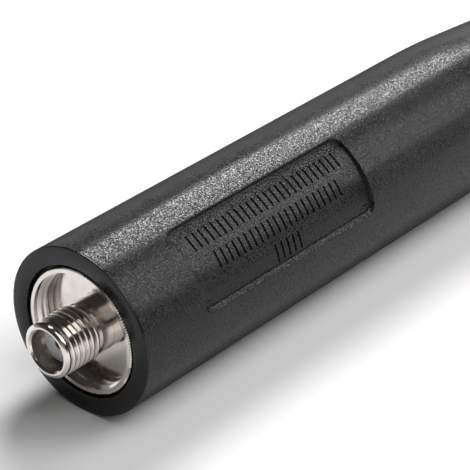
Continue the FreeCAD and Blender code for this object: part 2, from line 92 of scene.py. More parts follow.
# Painted shade: the board's colour far from the antenna, where the fade is painted rather than
# lit.
TABLE_PAINTED_SHADE = (0.02, 0.02, 0.02, 1)
LIT_MIDDLE = 0.03
LIT_TO = 0.08
DARK_FROM = 0.60

antenna_end = cad_box[1][0]
base_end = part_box("base_housing")[1].x
base_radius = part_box("base_housing")[1].z


def shader_of(material):
    return material.node_tree.nodes["Principled BSDF"]


def principled(name, **values):
    """Material with one shader; each value sets the shader's socket of that name."""
    material = bpy.data.materials.new(name)
    material.use_nodes = True
    for socket, value in values.items():
        shader_of(material).inputs[socket.replace("_", " ")].default_value = value
    return material


def add(material, kind, **settings):
    """New node in a material; each setting is one of the node's own options."""
    node = material.node_tree.nodes.new(kind)
    for option, value in settings.items():
        setattr(node, option, value)
    return node


def feed(material, source, target, socket):
    """Joins a number or another node's output to one of a node's sockets."""
    if isinstance(source, (int, float, tuple)):
        target.inputs[socket].default_value = source
    else:
        material.node_tree.links.new(source, target.inputs[socket])


def calculate(material, operation, first, second=0.0):
    node = add(material, "ShaderNodeMath", operation=operation)
    feed(material, first, node, 0)
    feed(material, second, node, 1)
    return node.outputs["Value"]


def hypotenuse(material, first, second):
    """Length from its two parts at right angles."""
    squares = [calculate(material, "MULTIPLY", part, part) for part in (first, second)]
    return calculate(material, "SQRT", calculate(material, "ADD", *squares))


def graded(material, value, low, high, out_low=0.0, out_high=1.0):
    """A value's smooth step between two limits."""
    node = add(material, "ShaderNodeMapRange", interpolation_type="SMOOTHSTEP")
    for socket, number in (("Value", value), ("From Min", low), ("From Max", high),
                           ("To Min", out_low), ("To Max", out_high)):
        feed(material, number, node, socket)
    return node.outputs["Result"]


def object_place(material, stretch=(1, 1, 1)):
    """Object coordinates, stretched by a factor on each axis."""
    mapping = add(material, "ShaderNodeMapping")
    feed(material, add(material, "ShaderNodeTexCoord").outputs["Object"], mapping, "Vector")
    feed(material, stretch, mapping, "Scale")
    return mapping.outputs["Vector"]


def place_parts(material):
    """X, Y and Z of the object coordinates, each an output by its letter."""
    parts = add(material, "ShaderNodeSeparateXYZ")
    feed(material, object_place(material), parts, "Vector")
    return parts.outputs


def two_tone(material, pattern, first, second, low=0.35, high=0.65):
    """Base colour that drifts between two shades with a pattern."""
    ramp = add(material, "ShaderNodeValToRGB")
    ramp.color_ramp.elements[0].position = low
    ramp.color_ramp.elements[0].color = first
    ramp.color_ramp.elements[1].position = high
    ramp.color_ramp.elements[1].color = second
    feed(material, pattern, ramp, "Fac")
    feed(material, ramp.outputs["Color"], shader_of(material), "Base Color")


def make_object(name, bm, material):
    """Object at the origin from a finished bmesh."""
    mesh = bpy.data.meshes.new(name)
    bm.to_mesh(mesh)
    bm.free()
    mesh.materials.append(material)
    made = bpy.data.objects.new(name, mesh)
    bpy.context.collection.objects.link(made)
    return made


board = bmesh.new()
bmesh.ops.create_grid(board, x_segments=1, y_segments=1, size=TABLE_SIDE / 2)
bmesh.ops.translate(board, verts=board.verts, vec=(0, 0, -base_radius))
white_board = principled("white_board", Emission_Color=(1, 1, 1, 1), Roughness=0.8,
                         Specular_IOR_Level=0.1)
spot = place_parts(white_board)
from_tip = calculate(white_board, "SUBTRACT", spot["X"], antenna_end)
past_tip = calculate(white_board, "MAXIMUM", from_tip, 0.0)
before_jack = calculate(white_board, "MINIMUM", spot["X"], 0.0)
beyond = calculate(white_board, "ADD", past_tip, before_jack)
across = calculate(white_board, "SUBTRACT", spot["Y"], LIT_MIDDLE)
painted_falloff = graded(white_board, hypotenuse(white_board, beyond, across), LIT_TO, DARK_FROM)
# Painted shade: the board's colour fades from white to near black away from the antenna.
two_tone(white_board, painted_falloff, TABLE_WHITE, TABLE_PAINTED_SHADE, low=0.0, high=1.0)
# Painted glow: the board gives off grey light that grows with distance from the antenna, standing
# in for the room.
feed(white_board, calculate(white_board, "MULTIPLY", painted_falloff, ROOM_GREY),
     shader_of(white_board), "Emission Strength")
table_top = make_object("table_top", board, white_board)

# Studio light: a bright soft box high behind the antenna, a dimmer one on the camera's right, a
# wide one overhead and a faint one behind the camera. The room is grey at the height of the table
# and dark above it, so that turned metal shows both.
CEILING_GREY = 0.04
CEILING_BAND = (0.08, 0.22)
LAMPS = (
    # name, direction from the object, distance, width, height, radiance
    ("back_box", (0.656, 0.349, 0.669), 0.90, 0.40, 0.40, 17.5),
    ("side_box", (0.629, -0.492, 0.602), 0.95, 0.56, 0.56, 4.4),
    ("top_box", (0.10, -0.45, 0.90), 1.10, 1.00, 0.80, 1.9),
    ("front_box", (-0.55, -0.50, 0.67), 1.00, 0.80, 0.80, 0.4),
)

world = bpy.data.worlds.new("studio")
bpy.context.scene.world = world
world.use_nodes = True
room = world.node_tree.nodes["Background"]
outlook = add(world, "ShaderNodeSeparateXYZ")
feed(world, add(world, "ShaderNodeTexCoord").outputs["Generated"], outlook, "Vector")
feed(world, graded(world, outlook.outputs["Z"], *CEILING_BAND, ROOM_GREY, CEILING_GREY),
     room, "Color")

lit_point = Vector((base_end / 4, 0, 0))
for name, towards, distance, width, height, radiance in LAMPS:
    lamp = bpy.data.lights.new(name, "AREA")
    lamp.shape = "RECTANGLE"
    lamp.size = width
    lamp.size_y = height
    lamp.energy = radiance * math.pi * width * height
    box = bpy.data.objects.new(name, lamp)
    direction = Vector(towards).normalized()
    box.location = lit_point + direction * distance
    box.rotation_euler = (-direction).to_track_quat("-Z", "Y").to_euler()
    bpy.context.collection.objects.link(box)

# Base housing: one thick moulding of black rubber over the collar and the core tube. It is
# turned from its half section, and its edges are rounded. The mould is spark-eroded, so the
# side is grained, while the end face, shut against a ground insert, is smooth.
MOUTH_RADIUS = 0.00765
MOUTH_DEPTH = 0.0009
SHOULDER_PLACE = 0.066
SHOULDER_BLEND = 0.110
SHOULDER_STEPS = 8
NOSE_RADIUS = 0.0055
GRIP_BORE = 0.00365
STEM_RADIUS = 0.0043
CHAMBER_SPARE = 0.004
FACE_EDGE = 0.0001
NOSE_EDGE = 0.0004
TURN_STEPS = 240
MERGE_WITHIN = 1e-8
TOLERANCE = 1e-7
SHARP_ANGLE = math.radians(32)

tube_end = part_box("core_tube")[1].x
tube_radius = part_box("core_tube")[1].z
chamber_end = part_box("matching_board")[1].x + CHAMBER_SPARE


def shoulder_arc(steps):
    """Corners of the gentle bend from the cylinder into the cone."""
    cone_angle = math.atan((base_radius - NOSE_RADIUS) / (base_end - SHOULDER_PLACE))
    start = SHOULDER_PLACE - SHOULDER_BLEND * math.tan(cone_angle / 2)
    turns = [cone_angle * step / steps for step in range(steps + 1)]
    return [(start + SHOULDER_BLEND * math.sin(turn),
             base_radius - SHOULDER_BLEND * (1 - math.cos(turn))) for turn in turns]


def turned(corners, steps=TURN_STEPS):
    """Closed shape turned about the X axis from the (place, radius) corners of its section."""
    bm = bmesh.new()
    ring = [bm.verts.new((place, 0, radius)) for place, radius in corners]
    for first, last in zip(ring, ring[1:] + ring[:1]):
        bm.edges.new((first, last))
    bmesh.ops.spin(bm, geom=bm.verts[:] + bm.edges[:], cent=(0, 0, 0), axis=(1, 0, 0),
                   dvec=(0, 0, 0), angle=math.tau, steps=steps, use_merge=True)
    bmesh.ops.remove_doubles(bm, verts=bm.verts, dist=MERGE_WITHIN)
    bmesh.ops.dissolve_degenerate(bm, edges=bm.edges, dist=MERGE_WITHIN)
    bmesh.ops.recalc_face_normals(bm, faces=bm.faces)
    return bm


def radius_of(vertex):
    return math.hypot(vertex.co.y, vertex.co.z)


def rings(bm, *corners):
    """Edges that run round the X axis at any of the given (place, radius) corners."""
    def on_ring(vertex):
        return any(abs(vertex.co.x - place) < TOLERANCE and
                   abs(radius_of(vertex) - radius) < TOLERANCE for place, radius in corners)
    return [edge for edge in bm.edges if all(on_ring(vertex) for vertex in edge.verts)]


def everything(bm):
    return bm.verts[:] + bm.edges[:] + bm.faces[:]


def round_edges(bm, edges, width, segments=3, clamp=True):
    bmesh.ops.bevel(bm, geom=edges, offset=width, offset_type="OFFSET", affect="EDGES",
                    segments=segments, profile=0.5, material=-1, clamp_overlap=clamp)


def smooth_object(name, bm, material):
    """Object with smooth shading, broken where two faces meet at a sharp angle."""
    for face in bm.faces:
        face.smooth = True
    made = make_object(name, bm, material)
    made.data.set_sharp_from_angle(angle=SHARP_ANGLE)
    even = made.modifiers.new("even_shading", "WEIGHTED_NORMAL")
    even.keep_sharp = True
    return made


housing = turned([
    (0, MOUTH_RADIUS), (0, base_radius), *shoulder_arc(SHOULDER_STEPS),
    (base_end, NOSE_RADIUS), (base_end, GRIP_BORE), (tube_end, GRIP_BORE),
    (tube_end, STEM_RADIUS), (chamber_end, STEM_RADIUS), (chamber_end, tube_radius),
    (MOUTH_DEPTH, tube_radius), (MOUTH_DEPTH, MOUTH_RADIUS)])
round_edges(housing, rings(housing, (0, base_radius)), FACE_EDGE)
round_edges(housing, rings(housing, (base_end, NOSE_RADIUS)), NOSE_EDGE, segments=4)
round_edges(housing, rings(housing, (0, MOUTH_RADIUS)), FACE_EDGE, segments=2)

# Label panel: a recess with round corners that an insert leaves in the side of the base. Its
# walls lean, the lower one most, so that the part comes out of the mould, and both their edges
# are soft. Three rows of plain strokes are engraved in its floor.
PANEL_FRONT = 0.0094
PANEL_LENGTH = 0.0291
PANEL_SPREAD = math.radians(60.6)
PANEL_MIDDLE = math.radians(141.4)
PANEL_DEPTH = 0.00045
PANEL_CORNER = 0.0013
PANEL_DRAFT = 0.00016
PANEL_EDGE = 0.00011
LOWER_SLOPE = 0.00044
SLOPE_BAND = 0.00110
CORNER_CUTS = 6
STROKE_WIDTH = 0.00030
STROKE_HEIGHT = 0.0021
STROKE_DEPTH = 0.00016
STROKE_DRAFT = 0.00005
STROKE_PITCH = 0.00098
STROKE_ROWS = ((-0.0027, 26), (0.0003, 22), (0.0033, 5))

half_length = PANEL_LENGTH / 2
half_width = base_radius * PANEL_SPREAD / 2


def unrolled(point):
    """Place along and round the base's side, from the panel's middle."""
    angle = math.atan2(point.z, point.y) - PANEL_MIDDLE
    angle = (angle + math.pi) % math.tau - math.pi
    return point.x - PANEL_FRONT - half_length, base_radius * angle


def rolled(along, around):
    """Point on the base's side from its place along and round it."""
    angle = PANEL_MIDDLE + around / base_radius
    return Vector((PANEL_FRONT + half_length + along,
                   base_radius * math.cos(angle), base_radius * math.sin(angle)))


def cut(bm, first, last, inside):
    """Splits the outer faces that pass a test along the line between two unrolled places."""
    start, end = rolled(*first), rolled(*last)
    outward = rolled((first[0] + last[0]) / 2, (first[1] + last[1]) / 2)
    outward.x = 0
    parts = set()
    for face in bm.faces:
        if face.normal.dot(outward) > 0 and inside(*unrolled(face.calc_center_median())):
            parts.update([face], face.edges, face.verts)
    bmesh.ops.bisect_plane(bm, geom=list(parts), dist=TOLERANCE, plane_co=start,
                           plane_no=(end - start).cross(outward).normalized())


def in_box(middle_along, middle_around, reach_along, reach_around):
    """Test for a place inside a rectangle of the unrolled side."""
    return lambda along, around: (abs(along - middle_along) < reach_along and
                                  abs(around - middle_around) < reach_around)


def in_panel(along, around):
    """Test for a place inside the panel's round-cornered outline."""
    over = max(abs(along) - half_length + PANEL_CORNER, 0)
    up = max(abs(around) - half_width + PANEL_CORNER, 0)
    return math.hypot(over, up) < PANEL_CORNER


def outer_faces(bm, inside):
    return [face for face in bm.faces if face.normal.dot(rolled(0, 0)) > 0 and
            inside(*unrolled(face.calc_center_median()))]


around_panel = in_box(0, 0, half_length + PANEL_CORNER, half_width + PANEL_CORNER)
for side in (-1, 1):
    for inset in (0, PANEL_CORNER):
        end = side * (half_length - inset)
        bmesh.ops.bisect_plane(housing, geom=everything(housing), dist=TOLERANCE,
                               plane_co=rolled(end, 0), plane_no=(1, 0, 0))
for side in (-1, 1):
    for inset in (0, PANEL_CORNER):
        edge = side * (half_width - inset)
        cut(housing, (-half_length, edge), (half_length, edge), around_panel)
for over in (-1, 1):
    for up in (-1, 1):
        pivot = (over * (half_length - PANEL_CORNER), up * (half_width - PANEL_CORNER))
        square = in_box(pivot[0] + over * PANEL_CORNER / 2, pivot[1] + up * PANEL_CORNER / 2,
                        PANEL_CORNER / 2, PANEL_CORNER / 2)
        turns = [math.pi / 2 * step / CORNER_CUTS for step in range(CORNER_CUTS + 1)]
        arc = [(pivot[0] + over * PANEL_CORNER * math.cos(turn),
                pivot[1] + up * PANEL_CORNER * math.sin(turn)) for turn in turns]
        for first, last in zip(arc, arc[1:]):
            cut(housing, first, last, square)

panel_floor = outer_faces(housing, in_panel)
walls = bmesh.ops.inset_region(housing, faces=panel_floor, thickness=PANEL_DRAFT,
                               depth=-PANEL_DEPTH, use_even_offset=True, use_boundary=True)
walls = set(walls["faces"])
for vertex in {vertex for face in panel_floor for vertex in face.verts}:
    past = unrolled(vertex.co)[1] - half_width + SLOPE_BAND
    if past > 0:
        turn = Matrix.Rotation(-LOWER_SLOPE / base_radius * past / SLOPE_BAND, 3, "X")
        vertex.co = turn @ vertex.co
edges_of_walls = {edge for face in walls for edge in face.edges
                  if not all(neighbour in walls for neighbour in edge.link_faces)}
round_edges(housing, list(edges_of_walls), PANEL_EDGE, segments=2, clamp=False)

stroke_tests = []
for row, count in STROKE_ROWS:
    band = in_box(0, row, half_length - PANEL_CORNER, STROKE_HEIGHT / 2 + STROKE_WIDTH)
    for side in (-1, 1):
        edge = row + side * STROKE_HEIGHT / 2
        cut(housing, (-half_length, edge), (half_length, edge), band)
    for number in range(count):
        place = (number - (count - 1) / 2) * STROKE_PITCH
        for side in (-1, 1):
            edge = place + side * STROKE_WIDTH / 2
            cut(housing, (edge, row - STROKE_HEIGHT), (edge, row + STROKE_HEIGHT), band)
        stroke_tests.append(in_box(place, row, STROKE_WIDTH / 2, STROKE_HEIGHT / 2))
strokes = [face for inside in stroke_tests for face in outer_faces(housing, inside)]
bmesh.ops.inset_region(housing, faces=strokes, thickness=STROKE_DRAFT, depth=-STROKE_DEPTH,
                       use_even_offset=True, use_boundary=True)
bmesh.ops.dissolve_degenerate(housing, edges=housing.edges, dist=TOLERANCE)

# Black rubber: a dark, slightly glossy compound. Its grain is that of the eroded steel, and is
# fainter on the panel's floor, which another electrode sank. Seen at a slant it loses its gloss.
RUBBER_BLACK = (0.004, 0.004, 0.0042, 1)
GRAIN_SIZE = 0.00016
GRAIN_DEPTH = 0.000060
PIT_LEVELS = (0.36, 0.58)
PIT_ROUGHNESS = 0.32
TOP_ROUGHNESS = 0.18
SLANTED = (0.55, 0.95)
SLANT_ROUGHNESS = 0.6
SMOOTH_TO = 0.00015
GRAINED_FROM = 0.00035
PANEL_GRAIN = 0.6
PANEL_LEVEL = base_radius - PANEL_DEPTH / 2
NOISE_SPAN = (0.3, 0.7)


def noise(material, size, detail=2.0, roughness=0.5, stretch=(1, 1, 1)):
    """Cloudy pattern with lumps of a given size in metres."""
    node = add(material, "ShaderNodeTexNoise")
    feed(material, object_place(material, stretch), node, "Vector")
    feed(material, 1 / size, node, "Scale")
    feed(material, detail, node, "Detail")
    feed(material, roughness, node, "Roughness")
    return node.outputs["Fac"]


def axis_distance(material):
    """Distance from the X axis, and the place along it."""
    parts = place_parts(material)
    return hypotenuse(material, parts["Y"], parts["Z"]), parts["X"]


def raise_surface(material, height, depth):
    """Bump of a given depth from a pattern that runs from 0 to 1."""
    bump = add(material, "ShaderNodeBump")
    feed(material, depth, bump, "Distance")
    feed(material, height, bump, "Height")
    feed(material, bump.outputs["Normal"], shader_of(material), "Normal")


def vary_roughness(material, pattern, low, high):
    """Roughness that drifts between two values with a noise."""
    drift = graded(material, pattern, *NOISE_SPAN, low, high)
    feed(material, drift, shader_of(material), "Roughness")


base_rubber = principled("base_rubber", Base_Color=RUBBER_BLACK, Specular_IOR_Level=0.285)
distance, along_axis = axis_distance(base_rubber)
on_side = graded(base_rubber, along_axis, SMOOTH_TO, GRAINED_FROM)
on_top = graded(base_rubber, distance, PANEL_LEVEL - SMOOTH_TO, PANEL_LEVEL + SMOOTH_TO,
                PANEL_GRAIN, 1.0)
pits = graded(base_rubber, noise(base_rubber, GRAIN_SIZE, detail=1.0), *PIT_LEVELS)
grain = calculate(base_rubber, "MULTIPLY", pits,
                  calculate(base_rubber, "MULTIPLY", on_side, on_top))
raise_surface(base_rubber, grain, GRAIN_DEPTH)
worn = graded(base_rubber, pits, *NOISE_SPAN, PIT_ROUGHNESS, TOP_ROUGHNESS)
slant = add(base_rubber, "ShaderNodeLayerWeight")
sheen_loss = graded(base_rubber, slant.outputs["Facing"], *SLANTED, 0.0, SLANT_ROUGHNESS)
feed(base_rubber, calculate(base_rubber, "ADD", worn, sheen_loss),
     shader_of(base_rubber), "Roughness")

base_moulding = smooth_object("base_moulding", housing, base_rubber)
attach(base_moulding, "base")
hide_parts("base_housing")

# Threaded collar: a cup turned from brass and nickel-plated, which the rubber holds by a groove
# and by the knurling round its edge. The fine thread inside takes a radio's guard ring.
COLLAR_RIM = 0.00010
COLLAR_BORE = 0.0065
COLLAR_THREAD_ROOT = 0.00685
COLLAR_THREAD_PITCH = 0.00070
COLLAR_THREAD_STEPS = 180
PITCHES_FROM_RIM = 0.6
PITCHES_FROM_FLOOR = 0.5
COLLAR_FLOOR = 0.0022
COLLAR_FLOOR_REAR = 0.0040
COLLAR_HOLE = 0.00302
COLLAR_GROOVE = (0.0052, 0.0068, 0.0068)
COLLAR_LENGTH = 0.0090
SPIGOT_RADIUS = 0.00628
SPIGOT_BORE = 0.0054
RIM_CHAMFER = 0.00012
RIM_SINK = 0.00022
THREAD_FOOT = 0.15
THREAD_FADE = 0.4
THREAD_FLAT = 0.16
KNURL_TEETH = 150
STEPS_PER_TOOTH = 3
KNURL_DEPTH = 0.00010
NICKEL = (0.78, 0.735, 0.70, 1)
NICKEL_DULL = (0.66, 0.61, 0.57, 1)
LATHE_MARK = 0.00009
LATHE_DEPTH = 0.0000035

collar_end = COLLAR_RIM + COLLAR_LENGTH
collar_steps = KNURL_TEETH * STEPS_PER_TOOTH
collar_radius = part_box("threaded_collar")[1].z
spigot_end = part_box("threaded_collar")[1].x


def set_radius(vertex, radius):
    scale = radius / radius_of(vertex)
    vertex.co.y *= scale
    vertex.co.z *= scale


def wind_thread(bm, start, end, root, crest, pitch, steps):
    """Adds a thread to a plain wall: a V ridge with a narrow flat top, which rises from the wall
    at one end and sinks into it at the other."""
    foot = root - (crest - root) * THREAD_FOOT
    first, last = start - pitch / 2, end + pitch / 2
    ridge = bmesh.new()
    corners = [ridge.verts.new((start + along * pitch, 0, radius)) for along, radius in (
        (-0.5, foot), (-THREAD_FLAT / 2, crest), (THREAD_FLAT / 2, crest), (0.5, foot))]
    section = ridge.faces.new(corners)
    count = round((end - start) / pitch * steps)
    bmesh.ops.spin(ridge, geom=[section, *section.edges, *corners], cent=(0, 0, 0), axis=(1, 0, 0),
                   dvec=((end - start) / count, 0, 0), angle=math.tau * count / steps,
                   steps=count, use_merge=False, use_duplicate=False)
    for vertex in ridge.verts:
        from_end = min(vertex.co.x - first, last - vertex.co.x)
        rise = min(max(from_end / (pitch * THREAD_FADE), 0), 1)
        set_radius(vertex, foot + (radius_of(vertex) - foot) * rise)
    bmesh.ops.recalc_face_normals(ridge, faces=ridge.faces)
    wound = bpy.data.meshes.new("thread")
    ridge.to_mesh(wound)
    ridge.free()
    bm.from_mesh(wound)
    bpy.data.meshes.remove(wound)


collar = turned([
    (COLLAR_RIM + RIM_CHAMFER, COLLAR_THREAD_ROOT),
    (COLLAR_RIM + RIM_CHAMFER, COLLAR_BORE + RIM_SINK), (COLLAR_RIM, COLLAR_BORE + RIM_SINK),
    (COLLAR_RIM, collar_radius - RIM_CHAMFER), (COLLAR_RIM + RIM_CHAMFER, collar_radius),
    (MOUTH_DEPTH, collar_radius), (MOUTH_DEPTH + RIM_CHAMFER, collar_radius),
    (COLLAR_GROOVE[0], collar_radius), (COLLAR_GROOVE[0], COLLAR_GROOVE[2]),
    (COLLAR_GROOVE[1], COLLAR_GROOVE[2]), (COLLAR_GROOVE[1], collar_radius),
    (collar_end, collar_radius), (collar_end, SPIGOT_RADIUS),
    (spigot_end, SPIGOT_RADIUS), (spigot_end, SPIGOT_BORE),
    (COLLAR_FLOOR_REAR, SPIGOT_BORE), (COLLAR_FLOOR_REAR, COLLAR_HOLE),
    (COLLAR_FLOOR, COLLAR_HOLE), (COLLAR_FLOOR, COLLAR_THREAD_ROOT)], steps=collar_steps)
for vertex in collar.verts:
    at_mouth = vertex.co.x < MOUTH_DEPTH + TOLERANCE
    if at_mouth and radius_of(vertex) > collar_radius - RIM_CHAMFER - TOLERANCE:
        angle = math.atan2(vertex.co.z, vertex.co.y) % math.tau
        if round(angle / math.tau * collar_steps) % STEPS_PER_TOOTH == 0:
            set_radius(vertex, radius_of(vertex) - KNURL_DEPTH)
wind_thread(collar, COLLAR_RIM + COLLAR_THREAD_PITCH * PITCHES_FROM_RIM,
            COLLAR_FLOOR - COLLAR_THREAD_PITCH * PITCHES_FROM_FLOOR, COLLAR_THREAD_ROOT,
            COLLAR_BORE, COLLAR_THREAD_PITCH, COLLAR_THREAD_STEPS)


def lathe_marks(material, spacing):
    """Fine uneven lines round the X axis, as a turning tool leaves them."""
    distance, along = axis_distance(material)
    section = add(material, "ShaderNodeCombineXYZ")
    feed(material, along, section, "X")
    feed(material, distance, section, "Y")
    lines = add(material, "ShaderNodeTexNoise")
    feed(material, section.outputs["Vector"], lines, "Vector")
    feed(material, 1 / spacing, lines, "Scale")
    return lines.outputs["Fac"]


nickel = principled("nickel_plate", Metallic=1.0)
raise_surface(nickel, lathe_marks(nickel, LATHE_MARK), LATHE_DEPTH)
two_tone(nickel, noise(nickel, size=0.0022, detail=3.0), NICKEL, NICKEL_DULL, low=0.40, high=0.75)
vary_roughness(nickel, noise(nickel, size=0.0008, detail=3.0), low=0.08, high=0.18)

collar_cup = smooth_object("collar_cup", collar, nickel)
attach(collar_cup, "base")
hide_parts("threaded_collar")

# Jack: a barrel turned from brass and nickel-plated, with the fine outer thread that the radio's
# plug screws on. Its neck passes the collar's floor, and a flange, a rubber ring in front of it
# and a slotted ring behind it hold it there.
JACK_THREAD_RADIUS = 0.003175
JACK_THREAD_ROOT = 0.00276
JACK_THREAD_PITCH = 0.0254 / 36
JACK_THREAD_START = 0.00100
JACK_THREAD_END = 0.0002
JACK_THREAD_STEPS = 120
JACK_FACE = (0.00256, 0.00272)
JACK_LAND = (0.00022, 0.00070, 0.00309)
JACK_NECK = 0.0030
JACK_BORE = 0.00231
INSULATOR_RADIUS = 0.002055
INSULATOR_DEPTH = 0.00193
FLANGE = (0.0045, 0.0059, 0.0050)
JACK_REAR = (0.0104, 0.0026)
JACK_EDGE = 0.00004
BORE_NICKEL = (0.42, 0.37, 0.33, 1)
BORE_SHADE = (0.28, 0.24, 0.21, 1)

jack_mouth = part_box("sma_jack")[0].x
insulator_face = jack_mouth + INSULATOR_DEPTH
land_start, land_end, land_radius = JACK_LAND
jack = turned([
    (jack_mouth, JACK_FACE[0]), (jack_mouth, JACK_FACE[1]),
    (jack_mouth + land_start, land_radius), (jack_mouth + land_end, land_radius),
    (jack_mouth + land_end + land_radius - JACK_THREAD_ROOT, JACK_THREAD_ROOT),
    (JACK_THREAD_END + JACK_THREAD_PITCH / 2, JACK_THREAD_ROOT),
    (JACK_THREAD_END + JACK_THREAD_PITCH / 2, JACK_NECK),
    (FLANGE[0], JACK_NECK), (FLANGE[0], FLANGE[2]),
    (FLANGE[1], FLANGE[2]), (FLANGE[1], JACK_REAR[1]), JACK_REAR,
    (JACK_REAR[0], INSULATOR_RADIUS), (insulator_face, INSULATOR_RADIUS),
    (insulator_face, JACK_BORE), (jack_mouth + JACK_FACE[0] - JACK_BORE, JACK_BORE)], steps=144)
round_edges(jack, rings(jack, (jack_mouth, JACK_FACE[0]), (jack_mouth, JACK_FACE[1]),
                        (jack_mouth + land_start, land_radius),
                        (jack_mouth + land_end, land_radius)), JACK_EDGE, segments=2)
wind_thread(jack, jack_mouth + JACK_THREAD_START, JACK_THREAD_END, JACK_THREAD_ROOT,
            JACK_THREAD_RADIUS, JACK_THREAD_PITCH, JACK_THREAD_STEPS)

jack_barrel = smooth_object("jack_barrel", jack, nickel)
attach(jack_barrel, "base")
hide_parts("sma_jack")

# Jack's bore: a darker and rougher nickel on the faces inside the bore, in front of the insulator,
# with coarser marks from the boring tool. It is the barrel's second material.
dull_nickel = principled("bore_nickel", Metallic=1.0)
raise_surface(dull_nickel, lathe_marks(dull_nickel, LATHE_MARK), LATHE_DEPTH * 2)
two_tone(dull_nickel, noise(dull_nickel, size=0.0015, detail=3.0), BORE_NICKEL, BORE_SHADE)
vary_roughness(dull_nickel, noise(dull_nickel, size=0.0008, detail=3.0), low=0.24, high=0.36)
jack_barrel.data.materials.append(dull_nickel)
for face in jack_barrel.data.polygons:
    in_front = face.center.x < insulator_face - TOLERANCE
    if in_front and math.hypot(face.center.y, face.center.z) < JACK_BORE + TOLERANCE:
        face.material_index = 1


def dress(material, *nodes):
    """Puts a material in the slots of CAD nodes whose shape is right as it is."""
    for node in nodes:
        for slot in bpy.data.objects[node].material_slots:
            slot.material = material


dress(nickel, "jack_lock_ring")

# Insulator: white fluoroplastic rod, turned and pressed into the jack. It lets a little light
# in, and the cut face shows faint tool rings.
INSULATOR_WHITE = (0.74, 0.77, 0.83, 1)
INSULATOR_SHADE = (0.66, 0.68, 0.73, 1)

fluoroplastic = principled("white_fluoroplastic", Subsurface_Weight=0.25, Subsurface_Scale=0.0006)
raise_surface(fluoroplastic, lathe_marks(fluoroplastic, spacing=0.00012), depth=0.000008)
two_tone(fluoroplastic, noise(fluoroplastic, size=0.0010), INSULATOR_WHITE, INSULATOR_SHADE)
vary_roughness(fluoroplastic, noise(fluoroplastic, size=0.0005), low=0.34, high=0.48)
dress(fluoroplastic, "jack_dielectric")

# Centre contact: a socket turned from beryllium copper and plated with gold. Its front end is
# drilled and slit twice, so that it springs on the plug's pin.
CONTACT_GOLD = (0.78, 0.46, 0.17, 1)
CONTACT_WORN = (0.62, 0.34, 0.13, 1)

gold = principled("contact_gold", Metallic=1.0)
raise_surface(gold, lathe_marks(gold, spacing=0.00006), depth=0.000003)
two_tone(gold, noise(gold, size=0.0006), CONTACT_GOLD, CONTACT_WORN)
vary_roughness(gold, noise(gold, size=0.0004), low=0.22, high=0.34)
dress(gold, "centre_contact")

# Seal: a flat ring punched from soft black rubber sheet, squeezed between the collar's floor and
# the jack's flange.
SEAL_BLACK = (0.012, 0.012, 0.012, 1)
SEAL_BLOOM = (0.022, 0.021, 0.020, 1)

seal_rubber = principled("seal_rubber", Specular_IOR_Level=0.35)
raise_surface(seal_rubber, noise(seal_rubber, size=0.00015, detail=3.0), depth=0.00002)
two_tone(seal_rubber, noise(seal_rubber, size=0.0012), SEAL_BLACK, SEAL_BLOOM)
vary_roughness(seal_rubber, noise(seal_rubber, size=0.0004), low=0.60, high=0.78)
dress(seal_rubber, "jack_seal")

# Core tube: an inner shell moulded from glass-filled nylon, which carries the board in two
# grooves and the folding neck's ferrule in its stem. The rubber is moulded over it. The core of
# the whip is a tube of the same nylon.
NYLON_BLACK = (0.030, 0.030, 0.032, 1)
NYLON_GREY = (0.045, 0.045, 0.047, 1)

nylon = principled("glass_filled_nylon")
fibres = noise(nylon, size=0.0003, detail=4.0, roughness=0.6, stretch=(0.3, 1, 1))
raise_surface(nylon, fibres, depth=0.000015)
two_tone(nylon, noise(nylon, size=0.004), NYLON_BLACK, NYLON_GREY)
vary_roughness(nylon, noise(nylon, size=0.0008), low=0.42, high=0.60)
dress(nylon, "core_tube", "whip_core")

# Matching board: glass-fibre laminate under green solder mask, with the weave just showing. It
# lies in the core tube's two grooves and carries the chokes and the capacitors.
WEAVE_PITCH = 0.0005
MASK_DEEP = (0.012, 0.090, 0.034, 1)
MASK_PALE = (0.016, 0.115, 0.045, 1)

laminate = principled("green_laminate", Coat_Weight=0.5, Coat_Roughness=0.12)
weave = add(laminate, "ShaderNodeTexChecker")
feed(laminate, object_place(laminate), weave, "Vector")
feed(laminate, 1 / WEAVE_PITCH, weave, "Scale")
feed(laminate, MASK_DEEP, weave, "Color1")
feed(laminate, MASK_PALE, weave, "Color2")
feed(laminate, weave.outputs["Color"], shader_of(laminate), "Base Color")
raise_surface(laminate, weave.outputs["Fac"], depth=0.000006)
vary_roughness(laminate, noise(laminate, size=0.0020), low=0.30, high=0.45)
dress(laminate, "matching_board")

# Chokes: coils pressed into blocks of dark ferrite powder, rough as they leave the press, and
# soldered to the board.
FERRITE_DARK = (0.055, 0.052, 0.050, 1)
FERRITE_PALE = (0.095, 0.090, 0.085, 1)

ferrite = principled("pressed_ferrite", Specular_IOR_Level=0.4)
raise_surface(ferrite, noise(ferrite, size=0.00018, detail=4.0, roughness=0.7), depth=0.000030)
two_tone(ferrite, noise(ferrite, size=0.0006, detail=4.0), FERRITE_DARK, FERRITE_PALE)
vary_roughness(ferrite, noise(ferrite, size=0.0005), low=0.62, high=0.85)
dress(ferrite, "series_choke", "shunt_choke")

# Capacitors: tan ceramic chips with tinned ends, which lie along X. The ends are set apart by
# their place along each chip.
CHIP_END = 0.00045
CHIP_END_BLUR = 0.00003
CHIP_GRAIN = 0.00035
CHIP_TIN = (0.62, 0.61, 0.59, 1)
CHIP_TAN = (0.33, 0.20, 0.11, 1)

